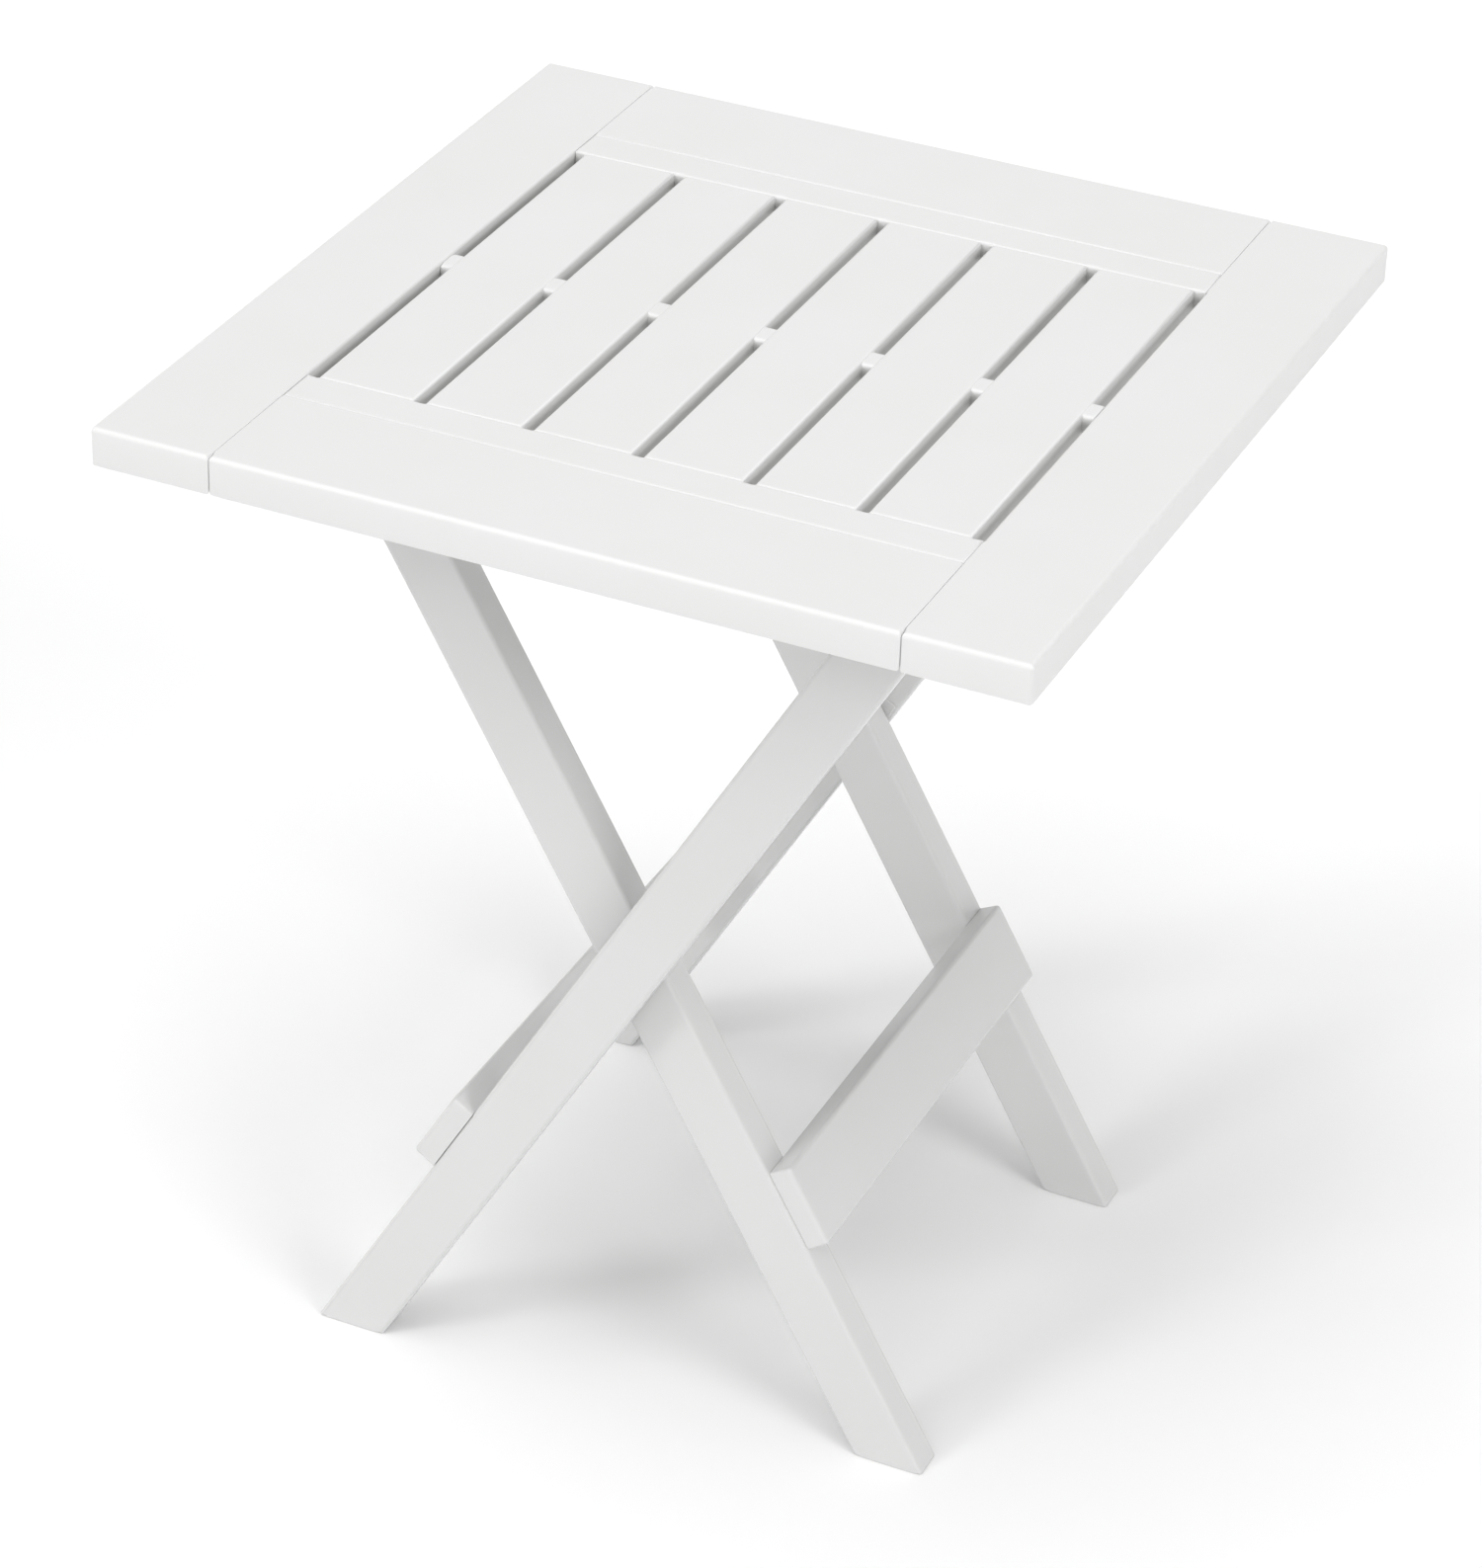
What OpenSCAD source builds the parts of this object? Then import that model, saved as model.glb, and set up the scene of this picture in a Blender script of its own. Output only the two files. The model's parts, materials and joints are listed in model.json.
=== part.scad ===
// Small folding side table moulded in white resin.
// A slatted top stands on two leg frames that cross like scissors.
// The outer frame is hinged under the right side of the top. The top bar of the
// inner frame rests in two open catches under the left side.
// Origin: on the floor, under the middle of the top. +Z up, +X towards the
// hinged side, -Y is the front.

/* [Tabletop] */
// Width of the top, along X
top_w = 440; // [420:5:460]
// Depth of the top, along Y
top_d = 440; // [436:2:460]
// Height of the top surface above the floor
table_h = 508; // [490:2:530]
// Depth of the apron round the edge
apron_h = 18.5; // [17:0.5:22]
// Width of each end board, measured at the seam
end_board_w = 58.5; // [52:0.5:60]
// Distance from the middle of the top to the seam of the front and rear rails
rail_seam_y = 153.3; // [152.8:0.1:156]
// Distance from the middle of the top to the ends of the slots
slot_end_y = 132; // [125:1:136]
// Number of slats between the end boards
slat_count = 6; // [4:1:7]
// Width of the slots between the slats
slot_w = 5.5; // [4:0.5:7]
// Width of the rib that ties the slats at mid length
rib_w = 14; // [10:1:20]

/* [Legs] */
// Distance from the middle to the centre of each foot, along X
foot_x = 139; // [132:1:142]
// Lean of the legs from upright
leg_lean = 30; // [29:0.5:31]
// Width of a leg, seen from the front
leg_w = 30.5; // [28:0.5:31]
// Thickness of a leg, along Y
leg_t = 18; // [16:0.5:19]
// Outer face of the inner frame, measured from the middle
inner_face_y = 128; // [124:0.5:128]
// Height of the hinge axis above the floor
hinge_z = 482; // [474:1:482]
// Distance from the foot to the low edge of a stretcher, along the leg
stretcher_start = 119; // [100:1:130]
// Width of a stretcher, along the leg
stretcher_w = 42; // [34:1:44]
// How far a stretcher stands proud of the legs
stretcher_t = 12; // [10:0.5:14]

/* [Hidden] */
$fn = 48;

// Wall sizes of the mouldings
skin_t = 3;            // top skin of boards and slats
wall_t = 2.5;          // upright walls and ribs
apron_t = 3;           // outer apron wall
deck_h = 10;           // depth of the slats, rails and inner edges
edge_r = 2;            // round on outer edges
seam_r = 0.6;          // round on edges at a seam
seam_gap = 0.4;        // gap between neighbouring mouldings
groove_w = 1.2;        // moulded line across the slat ends
groove_h = 0.5;
rib_drop = 1;          // the middle rib lies this far below the top surface
cell_pitch = 36;       // spacing of the ribs under the boards

// Running fits and gaps
run_clear = 0.05;      // radial clearance of every pin in its bore
frame_gap = 1.5;       // gap between inner and outer legs
pad_t = 1.2;           // pad on the outer leg that fills most of this gap
pad_half = 17;         // half length of the pad, along the leg

// Pins, bar and screws
pivot_r = 5;
pivot_head_r = 7.2;
pivot_head_t = 2.4;
pivot_bore_depth = 14.5;
sink_depth = 4;        // counterbore for pin head and washer
washer_t = 0.8;
hinge_r = 4;
hinge_head_r = 7;
hinge_head_t = 2.5;
bar_r = 5;
bar_bore_r = 3.8;
bar_clear = 0.3;
peg_r = 4;
peg_len = 10;
screw_r = 1.5;
screw_head_r = 3.4;
screw_head_t = 1.6;
screw_slot_w = 0.8;    // each arm of the cross recess
screw_slot_len = 3.6;
boss_r = 4;

// Derived places
hw = top_w / 2;
hd = top_d / 2;
seam_x = hw - end_board_w;
top_z = table_h;
deck_z = top_z - deck_h;
apron_z = top_z - apron_h;
skin_z = top_z - skin_t;
slat_pitch = (2 * seam_x - slot_w) / slat_count;
slat_w = slat_pitch - slot_w;
outer_in_y = inner_face_y + frame_gap;
outer_face_y = outer_in_y + leg_t;
inner_in_y = inner_face_y - leg_t;
pivot_s = foot_x / sin(leg_lean);
pivot_z = foot_x / tan(leg_lean);
hinge_s = hinge_z / cos(leg_lean);
hinge_x = (hinge_z - pivot_z) * tan(leg_lean);

// Hinge bracket
lug_gap = 1.5;         // gap between the outer leg and the lug
lug_t = 6;
lug_r = 9;
base_t = 4;
bracket_w = 40;
bracket_d = 33;
bracket_screw_x = 13;  // screws, measured from the hinge axis
bracket_screw_in = 22; // and from the lug's inner face
gusset_x = 7;          // ribs between lug and base, measured from the hinge axis
gusset_t = 2.5;
gusset_h = 5;
gusset_len = 10;
pin_play = 0.3;        // end play under the head of the hinge pin
lug_y = outer_face_y + lug_gap;
bracket_x0 = hinge_x - bracket_w / 2;
bracket_x1 = hinge_x + bracket_w / 2;
bracket_y1 = lug_y + bracket_d;

// Catch on the inner frame's top bar
catch_gap = 3;         // gap between the catch and the inner leg
catch_d = 22;
catch_stop = 14;       // from the bar axis to the outside of the stop wall
catch_reach = 12;      // from the bar axis to the open side
catch_lip = 5;         // the stop wall reaches this far below the bar axis
catch_screw_x = -hinge_x + catch_reach / 2;
catch_y1 = inner_in_y - catch_gap;
catch_y0 = catch_y1 - catch_d;
catch_x0 = -hinge_x - catch_stop;
catch_x1 = -hinge_x + catch_reach;
catch_screw_y = [catch_y0 + 6, catch_y1 - 6];

// Tenons that join boards, rails and slat panel
tenon_w = 20;
tenon_len = 12;
tenon_t = 4;
tenon_z = deck_z + 1;
tenon_clear = 0.2;
rail_tenon_y = [170, 200];
panel_tenon_x = [-110, 0, 110];

white = "whitesmoke";
steel = "silver";

// ---- helpers -------------------------------------------------------------

module flip_x() mirror([1, 0, 0]) children();

module flip_y() mirror([0, 1, 0]) children();

module front_and_rear()
    for (my = [0, 1]) mirror([0, my, 0]) children();

// A box from its two opposite corners
module span(a, b) translate(a) cube(b - a);

// A cylinder along Y between two values of y
module rod_y(x, z, y0, y1, r)
    translate([x, y1, z]) rotate([90, 0, 0]) cylinder(h = y1 - y0, r = r);

// An upright cylinder between two heights
module post(x, y, z0, z1, r) translate([x, y, z0]) cylinder(h = z1 - z0, r = r);

// Rectangle with its two upper corners rounded by r0 and r1
module top_section(a0, a1, z0, z1, r0, r1) {
    translate([a0, z0]) square([a1 - a0, z1 - z0 - max(r0, r1)]);
    translate([a0 + r0, z0]) square([a1 - a0 - r0 - r1, z1 - z0]);
    translate([a0, z0]) square([r0, z1 - z0 - r0]);
    translate([a1 - r1, z0]) square([r1, z1 - z0 - r1]);
    translate([a0 + r0, z1 - r0]) circle(r0);
    translate([a1 - r1, z1 - r1]) circle(r1);
}

// Block with rounded upper edges: an X section and a Y section, crossed
module slab(x, y, z, rx, ry)
    intersection() {
        translate([0, y[1], 0]) rotate([90, 0, 0])
            linear_extrude(y[1] - y[0]) top_section(x[0], x[1], z[0], z[1], rx[0], rx[1]);
        translate([x[0], 0, 0]) rotate([90, 0, 90])
            linear_extrude(x[1] - x[0]) top_section(y[0], y[1], z[0], z[1], ry[0], ry[1]);
    }

// Hollow cells under a skin, with ribs of wall_t left between them
module cells(x, y, nx, ny) {
    dx = (x[1] - x[0] + wall_t) / nx;
    dy = (y[1] - y[0] + wall_t) / ny;
    for (i = [0 : nx - 1], j = [0 : ny - 1])
        translate([x[0] + i * dx, y[0] + j * dy, apron_z - 1])
            cube([dx - wall_t, dy - wall_t, skin_z - apron_z + 1]);
}

// Rounded rectangle, centred
module bar_section(w, t, r) {
    square([w - 2 * r, t], center = true);
    square([w, t - 2 * r], center = true);
    for (sx = [-1, 1], sy = [-1, 1])
        translate([sx * (w / 2 - r), sy * (t / 2 - r)]) circle(r);
}

// Self-tapping screw seen from below: round head, plain shank pointing up
module screw(x, y, seat_z, tip_z)
    difference() {
        union() {
            post(x, y, seat_z - screw_head_t, seat_z, screw_head_r);
            post(x, y, seat_z - 0.1, tip_z, screw_r);
        }
        for (a = [0, 90])
            translate([x, y, seat_z - screw_head_t]) rotate([0, 0, a])
                cube([screw_slot_len, screw_slot_w, screw_head_t], center = true);
    }

// ---- top: screw posts, tenons and their sockets ----------------------------

// Posts under the skin that take the screws: short ones end above a tenon
module screw_bosses(points, from_z = tenon_z + tenon_t + tenon_clear)
    for (p = points) post(p[0], p[1], from_z, skin_z + 0.1, boss_r);

module screw_holes(points)
    for (p = points) post(p[0], p[1], apron_z, skin_z + 1.2, screw_r + run_clear);

// Screw places in the +X end board, one for each rail tenon
board_points = [for (sy = [-1, 1], y = rail_tenon_y) [seam_x + tenon_len - 4, sy * y]];
// Screw places in the rear rail, one for each tenon of the slat panel
rail_points = [for (x = panel_tenon_x) [x, rail_seam_y + tenon_len - 4]];
// Screw places of the rear hinge bracket
bracket_points = [for (s = [-1, 1]) [hinge_x + s * bracket_screw_x, lug_y + bracket_screw_in]];
// Screw places of the rear catch
catch_points = [for (y = catch_screw_y) [catch_screw_x, y]];

// Tenon pointing to +X or +Y; grow widens it for the socket
module tenon_x(y, grow)
    span([seam_x - 1 - grow, y - tenon_w / 2 - grow, tenon_z - grow],
         [seam_x + tenon_len + grow, y + tenon_w / 2 + grow, tenon_z + tenon_t + grow]);

module tenon_y(x, grow)
    span([x - tenon_w / 2 - grow, rail_seam_y - 1 - grow, tenon_z - grow],
         [x + tenon_w / 2 + grow, rail_seam_y + tenon_len + grow, tenon_z + tenon_t + grow]);

// ---- top: the five mouldings ------------------------------------------------

// End board on the +X side
module end_board() {
    x0 = seam_x + seam_gap / 2;
    color(white) difference() {
        union() {
            difference() {
                slab([x0, hw], [-hd, hd], [apron_z, top_z], [seam_r, edge_r], [edge_r, edge_r]);
                span([x0 - 1, -hd + apron_t, apron_z - 1], [hw - apron_t, hd - apron_t, deck_z]);
                cells([x0 + wall_t, hw - apron_t], [-hd + apron_t, hd - apron_t], 1,
                      round(top_d / cell_pitch));
            }
            screw_bosses(board_points);
        }
        for (sy = [-1, 1], y = rail_tenon_y) tenon_x(sy * y, tenon_clear);
        screw_holes(board_points);
    }
}

module right_end_board() end_board();
module left_end_board() flip_x() end_board();

// Rail between the end boards, at the rear
module rail() {
    x1 = seam_x - seam_gap / 2;
    y0 = rail_seam_y + seam_gap / 2;
    color(white) difference() {
        union() {
            difference() {
                slab([-x1, x1], [y0, hd], [apron_z, top_z], [seam_r, seam_r], [seam_r, edge_r]);
                span([-x1 - 1, y0 - 1, apron_z - 1], [x1 + 1, hd - apron_t, deck_z]);
                cells([-x1 + wall_t, x1 - wall_t], [y0 + wall_t, hd - apron_t],
                      round(2 * seam_x / cell_pitch), 1);
            }
            for (s = [0, 1]) mirror([s, 0, 0]) for (y = rail_tenon_y) tenon_x(y, 0);
            screw_bosses(rail_points);
            screw_bosses(bracket_points, deck_z);
        }
        for (x = panel_tenon_x) tenon_y(x, tenon_clear);
        screw_holes(rail_points);
        screw_holes(bracket_points);
        for (s = [0, 1]) mirror([s, 0, 0]) screw_holes(board_points);
    }
}

module rear_rail() rail();
module front_rail() flip_y() rail();

// Slats with the strips that close their ends and the rib across the middle
module slat_panel() {
    x1 = seam_x - seam_gap / 2;
    y1 = rail_seam_y - seam_gap / 2;
    slat_x0 = -seam_x + slot_w;
    color(white) difference() {
        union() {
            difference() {
                slab([-x1, x1], [-y1, y1], [deck_z, top_z], [seam_r, seam_r], [seam_r, seam_r]);
                // slots, closed by the strips and by the rib
                for (i = [0 : slat_count], my = [0, 1]) mirror([0, my, 0])
                    span([-seam_x + i * slat_pitch, rib_w / 2, deck_z - 1],
                         [-seam_x + i * slat_pitch + slot_w, slot_end_y, top_z + 1]);
                // the rib shows a little lower than the slats
                for (i = [0 : slat_count])
                    span([-seam_x + i * slat_pitch, -rib_w / 2 - 1, top_z - rib_drop],
                         [-seam_x + i * slat_pitch + slot_w, rib_w / 2 + 1, top_z + 1]);
                // moulded line across the slat ends
                front_and_rear()
                    span([-x1 - 1, slot_end_y, top_z - groove_h],
                         [x1 + 1, slot_end_y + groove_w, top_z + 1]);
                // each slat is a channel, open below
                for (i = [0 : slat_count - 1], my = [0, 1]) mirror([0, my, 0])
                    translate([slat_x0 + i * slat_pitch, 0, 0])
                        cells([wall_t, slat_w - wall_t], [rib_w / 2, slot_end_y - wall_t], 1, 3);
                front_and_rear()
                    cells([-x1 + wall_t, x1 - wall_t], [slot_end_y + wall_t, y1 - wall_t], 6, 1);
            }
            for (my = [0, 1], x = panel_tenon_x) mirror([0, my, 0]) tenon_y(x, 0);
            front_and_rear() screw_bosses(catch_points, deck_z);
        }
        front_and_rear() screw_holes(rail_points);
        front_and_rear() screw_holes(catch_points);
    }
}

// ---- under the top ------------------------------------------------------------

// Bracket screwed under the rear rail; its lug carries the hinge pin
module hinge_bracket()
    color(white) difference() {
        union() {
            span([bracket_x0, lug_y, deck_z - base_t], [bracket_x1, bracket_y1, deck_z]);
            span([hinge_x - lug_r, lug_y, hinge_z], [hinge_x + lug_r, lug_y + lug_t, deck_z]);
            rod_y(hinge_x, hinge_z, lug_y, lug_y + lug_t, lug_r);
            for (s = [-1, 1])
                span([hinge_x + s * gusset_x - gusset_t / 2, lug_y + lug_t - 0.1,
                      deck_z - base_t - gusset_h],
                     [hinge_x + s * gusset_x + gusset_t / 2, lug_y + lug_t + gusset_len,
                      deck_z - base_t + 0.1]);
        }
        rod_y(hinge_x, hinge_z, lug_y - 1, lug_y + lug_t + 1, hinge_r + run_clear);
        screw_holes(bracket_points);
    }

module hinge_bracket_rear() hinge_bracket();
module hinge_bracket_front() flip_y() hinge_bracket();

// Saddle that sits on the top bar: a seat above it and a stop wall outside it
module catch_block()
    color(white) difference() {
        span([catch_x0, catch_y0, hinge_z - catch_lip], [catch_x1, catch_y1, deck_z]);
        span([-hinge_x, catch_y0 - 1, hinge_z - catch_lip - 1],
             [catch_x1 + 1, catch_y1 + 1, hinge_z + bar_r + bar_clear]);
        rod_y(-hinge_x, hinge_z, catch_y0 - 1, catch_y1 + 1, bar_r + bar_clear);
        screw_holes(catch_points);
        for (p = catch_points) post(p[0], p[1], hinge_z, deck_z - base_t, screw_head_r + 0.4);
    }

module catch_rear() catch_block();
module catch_front() flip_y() catch_block();

module board_screws()
    color(steel) for (s = [0, 1]) mirror([s, 0, 0])
        for (p = board_points) screw(p[0], p[1], tenon_z, skin_z + 1);

module panel_screws()
    color(steel) front_and_rear() for (p = rail_points) screw(p[0], p[1], tenon_z, skin_z + 1);

module bracket_screws()
    color(steel) front_and_rear()
        for (p = bracket_points) screw(p[0], p[1], deck_z - base_t, skin_z + 1);

module catch_screws()
    color(steel) front_and_rear()
        for (p = catch_points) screw(p[0], p[1], deck_z - base_t, skin_z + 1);

// Headed pin through the lug into the outer leg
module hinge_pin() {
    head_y = lug_y + lug_t + pin_play;
    color(steel) union() {
        rod_y(hinge_x, hinge_z, outer_in_y + 1, head_y + 0.3, hinge_r);
        rod_y(hinge_x, hinge_z, head_y, head_y + hinge_head_t, hinge_head_r);
    }
}

module hinge_pin_rear() hinge_pin();
module hinge_pin_front() flip_y() hinge_pin();

// ---- legs ----------------------------------------------------------------------

// Frame of one leg: origin at its foot, Z along the leg. side is 1 for the outer
// legs, which rise towards +X, and -1 for the inner legs
module along_leg(side)
    translate([-side * foot_x, 0, 0]) rotate([0, side * leg_lean, 0]) children();

// Straight leg with rounded edges, a flat foot on the floor and a round top end
module leg_blank(side, y_in)
    intersection() {
        along_leg(side) translate([0, y_in + leg_t / 2, 0]) {
            translate([0, 0, -leg_w]) linear_extrude(hinge_s + leg_w)
                bar_section(leg_w, leg_t, edge_r);
            translate([0, 0, hinge_s]) rotate([90, 0, 0]) rotate_extrude() {
                translate([0, -leg_t / 2]) square([leg_w / 2 - edge_r, leg_t]);
                translate([0, edge_r - leg_t / 2]) square([leg_w / 2, leg_t - 2 * edge_r]);
                for (s = [-1, 1])
                    translate([leg_w / 2 - edge_r, s * (leg_t / 2 - edge_r)]) circle(edge_r);
            }
        }
        span([-hw, -hd, 0], [hw, hd, top_z]);
    }

// Places of the two pegs of a stretcher, along the leg
peg_places = [stretcher_start + stretcher_w / 4, stretcher_start + stretcher_w * 3 / 4];

// Pegs or peg holes on the upper face of a leg; y_mid is the middle of the leg
module pegs(side, y_mid, r, len, out)
    along_leg(side)
        for (s = peg_places)
            translate([-side * (leg_w / 2 - len), y_mid, s]) rotate([0, -side * 90, 0])
                cylinder(h = len + out, r = r);

// Rear leg of the outer frame, with the pad round the pivot on its inner face
module outer_leg()
    color(white) difference() {
        union() {
            leg_blank(1, outer_in_y);
            along_leg(1)
                span([-leg_w / 2 + edge_r, outer_in_y - pad_t, pivot_s - pad_half],
                     [leg_w / 2 - edge_r, outer_in_y + 0.5, pivot_s + pad_half]);
        }
        rod_y(0, pivot_z, outer_in_y - pad_t - 1, outer_in_y + pivot_bore_depth, pivot_r + run_clear);
        rod_y(hinge_x, hinge_z, outer_in_y - 1, outer_face_y + 1, hinge_r + run_clear);
        pegs(1, outer_in_y + leg_t / 2, peg_r + run_clear, peg_len + 1, 1);
    }

module outer_leg_rear() outer_leg();
module outer_leg_front() flip_y() outer_leg();

// Rear leg of the inner frame
module inner_leg()
    color(white) difference() {
        leg_blank(-1, inner_in_y);
        rod_y(0, pivot_z, inner_in_y - 1, inner_face_y + 1, pivot_r + run_clear);
        rod_y(0, pivot_z, inner_in_y - 1, inner_in_y + sink_depth, pivot_head_r + 0.2);
        rod_y(-hinge_x, hinge_z, inner_in_y - 1, inner_face_y - 2, bar_r + run_clear);
        pegs(-1, inner_in_y + leg_t / 2, peg_r + run_clear, peg_len + 1, 1);
    }

module inner_leg_rear() inner_leg();
module inner_leg_front() flip_y() inner_leg();

// Board across a pair of legs, on their upper faces, with pegs into the legs
module stretcher(side, half_len, y_mid)
    color(white) union() {
        along_leg(side)
            translate([-side * (leg_w / 2 + stretcher_t / 2), half_len, stretcher_start + stretcher_w / 2])
                rotate([90, 0, 0]) linear_extrude(2 * half_len)
                    bar_section(stretcher_t, stretcher_w, edge_r);
        front_and_rear() pegs(side, y_mid, peg_r, peg_len, 1);
    }

module outer_stretcher() stretcher(1, outer_face_y, outer_in_y + leg_t / 2);
module inner_stretcher() stretcher(-1, inner_face_y - 1.5, inner_in_y + leg_t / 2);

// Round tube between the upper ends of the inner legs
module inner_top_bar() {
    y1 = inner_face_y - 2.4;
    color(steel) difference() {
        rod_y(-hinge_x, hinge_z, -y1, y1, bar_r);
        rod_y(-hinge_x, hinge_z, -y1 - 1, y1 + 1, bar_bore_r);
    }
}

// Headed pin fixed in the outer leg; the inner leg turns on it
module pivot_pin() {
    y0 = inner_in_y + 0.4;
    color(steel) union() {
        rod_y(0, pivot_z, y0, y0 + pivot_head_t, pivot_head_r);
        rod_y(0, pivot_z, y0 + 0.5, outer_in_y + pivot_bore_depth - 0.5, pivot_r);
    }
}

module pivot_pin_rear() pivot_pin();
module pivot_pin_front() flip_y() pivot_pin();

module pivot_washer() {
    y1 = inner_in_y + sink_depth - 0.05;
    color("white") difference() {
        rod_y(0, pivot_z, y1 - washer_t, y1, pivot_head_r - 0.5);
        rod_y(0, pivot_z, y1 - washer_t - 1, y1 + 1, pivot_r + run_clear);
    }
}

module pivot_washer_rear() pivot_washer();
module pivot_washer_front() flip_y() pivot_washer();

left_end_board();
right_end_board();
front_rail();
rear_rail();
slat_panel();
hinge_bracket_front();
hinge_bracket_rear();
catch_front();
catch_rear();
board_screws();
panel_screws();
bracket_screws();
catch_screws();
hinge_pin_front();
hinge_pin_rear();
outer_leg_front();
outer_leg_rear();
outer_stretcher();
pivot_pin_front();
pivot_pin_rear();
inner_leg_front();
inner_leg_rear();
inner_stretcher();
inner_top_bar();
pivot_washer_front();
pivot_washer_rear();
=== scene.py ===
# %% [markdown]
# # A small folding table in white resin
#
# The real table is injection moulded in white polypropylene. Its top is made of two end boards, two
# rails and a panel of slats. It stands on two leg frames that cross like scissors: the outer frame is
# hinged under the right side of the top, and the inner frame's top bar rests in two catches.
#
# Mouldings have no sharp edges, because melted plastic can't fill a sharp corner and a sharp corner
# wouldn't leave the mould. So the whole lesson turns on one idea: an outline, the direction that each
# of its points faces, and a stack of rings that are the outline pulled inwards along those directions.
# Rings that are pulled in on a quarter circle make the rounded edge that catches the light.

import json
import math

import bmesh
import bpy
import numpy as np
from mathutils import Matrix, Vector
from mathutils.geometry import tessellate_polygon


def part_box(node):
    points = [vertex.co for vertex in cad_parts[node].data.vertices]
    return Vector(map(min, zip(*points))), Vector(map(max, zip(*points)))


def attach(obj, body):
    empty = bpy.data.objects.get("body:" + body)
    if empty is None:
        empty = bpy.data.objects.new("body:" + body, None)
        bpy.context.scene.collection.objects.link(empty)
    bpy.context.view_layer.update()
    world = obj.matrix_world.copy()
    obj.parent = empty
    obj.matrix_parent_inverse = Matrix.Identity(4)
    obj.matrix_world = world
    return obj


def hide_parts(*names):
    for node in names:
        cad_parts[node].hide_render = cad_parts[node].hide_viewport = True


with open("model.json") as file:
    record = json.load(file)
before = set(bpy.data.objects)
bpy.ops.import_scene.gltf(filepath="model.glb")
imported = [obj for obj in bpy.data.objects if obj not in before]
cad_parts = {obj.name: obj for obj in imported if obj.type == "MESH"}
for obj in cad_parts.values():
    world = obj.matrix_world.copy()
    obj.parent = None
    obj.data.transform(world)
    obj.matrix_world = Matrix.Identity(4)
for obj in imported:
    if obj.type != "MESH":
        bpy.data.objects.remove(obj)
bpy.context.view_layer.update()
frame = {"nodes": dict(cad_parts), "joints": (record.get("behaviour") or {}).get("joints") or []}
MM = 0.001

# %% [markdown]
# ## Sizes from the frame
#
# The frame knows where each part is, so the sizes are read from it and not typed again. The scissor
# pivot and the hinge give the lean of the legs. The round end of a leg is centred on the hinge, so the
# height of that end above the hinge is half a leg's width. A stretcher lies along leaning legs, so its
# extent is measured along the leg, from the foot. The seams are typed, because they differ: the CAD
# solids stay 0.4 mm apart, but real mouldings are pressed closer together, so the gaps here are finer.

# %% Read the sizes
joint_at = {j["name"]: np.array(j["pos_m"], float) for j in frame["joints"]}
pivot = joint_at["leg_fold"]
hinge = joint_at["top_turn"]
lean = math.atan2(hinge[0] - pivot[0], hinge[2] - pivot[2])
foot_x = pivot[2] * math.tan(lean)
leg_length = hinge[2] / math.cos(lean)
pivot_along = pivot[2] / math.cos(lean)
leg_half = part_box("outer_leg_rear")[1].z - hinge[2]
inner_y = [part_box("inner_leg_rear")[i].y for i in (0, 1)]
leg_t = inner_y[1] - inner_y[0]
outer_y = [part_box("outer_leg_rear")[1].y - leg_t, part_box("outer_leg_rear")[1].y]
pad_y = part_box("outer_leg_rear")[0].y

half_w, half_d, top_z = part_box("right_end_board")[1]
board_x, _, apron_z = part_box("right_end_board")[0]
rail_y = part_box("rear_rail")[0].y
deck_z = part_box("slat_panel")[0].z
CAD_SEAM, SEAM_GAP, PANEL_GAP = 0.4 * MM, 0.2 * MM, 0.1 * MM
SLOT_END = 132.0 * MM
seam_x = board_x - CAD_SEAM / 2
rail_x = board_x - SEAM_GAP
panel_y = rail_y - PANEL_GAP
print("leg:", round(leg_length / MM, 1), "mm to the hinge, lean", round(math.degrees(lean), 2), "deg")


def leg_axes(side):
    """Origin at the foot and three directions: across the leg, up along it, and towards the rear.

    side is 1 for the outer legs, which rise towards +X, and -1 for the inner legs.
    """
    across = (math.cos(lean), 0.0, -side * math.sin(lean))
    upward = (side * math.sin(lean), 0.0, math.cos(lean))
    return (-side * foot_x, 0.0, 0.0), across, upward, (0.0, 1.0, 0.0)


def extent(node, origin, direction):
    """Lowest and highest value of a CAD node's points, measured from origin along direction."""
    mesh = frame["nodes"][node].data
    points = np.empty(len(mesh.vertices) * 3, np.float32)
    mesh.vertices.foreach_get("co", points)
    values = (points.reshape(-1, 3) - np.array(origin)) @ np.array(direction)
    return float(values.min()), float(values.max())


# %% [markdown]
# ## Outlines
#
# Seen square on, every moulding is a convex polygon with round corners: a board, a slat, even a leg,
# whose round end is simply two corners with a radius of half its width. One function makes them all.
# It keeps what is needed to pull the outline in later: which way each point moves, how much of its
# round is left, and how soft the edge is there, because an edge at a seam is nearly sharp while an
# outer edge is well rounded.

# %% Outline of a moulding
CORNER_STEPS = 9
SPREAD = 0.4


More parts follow.
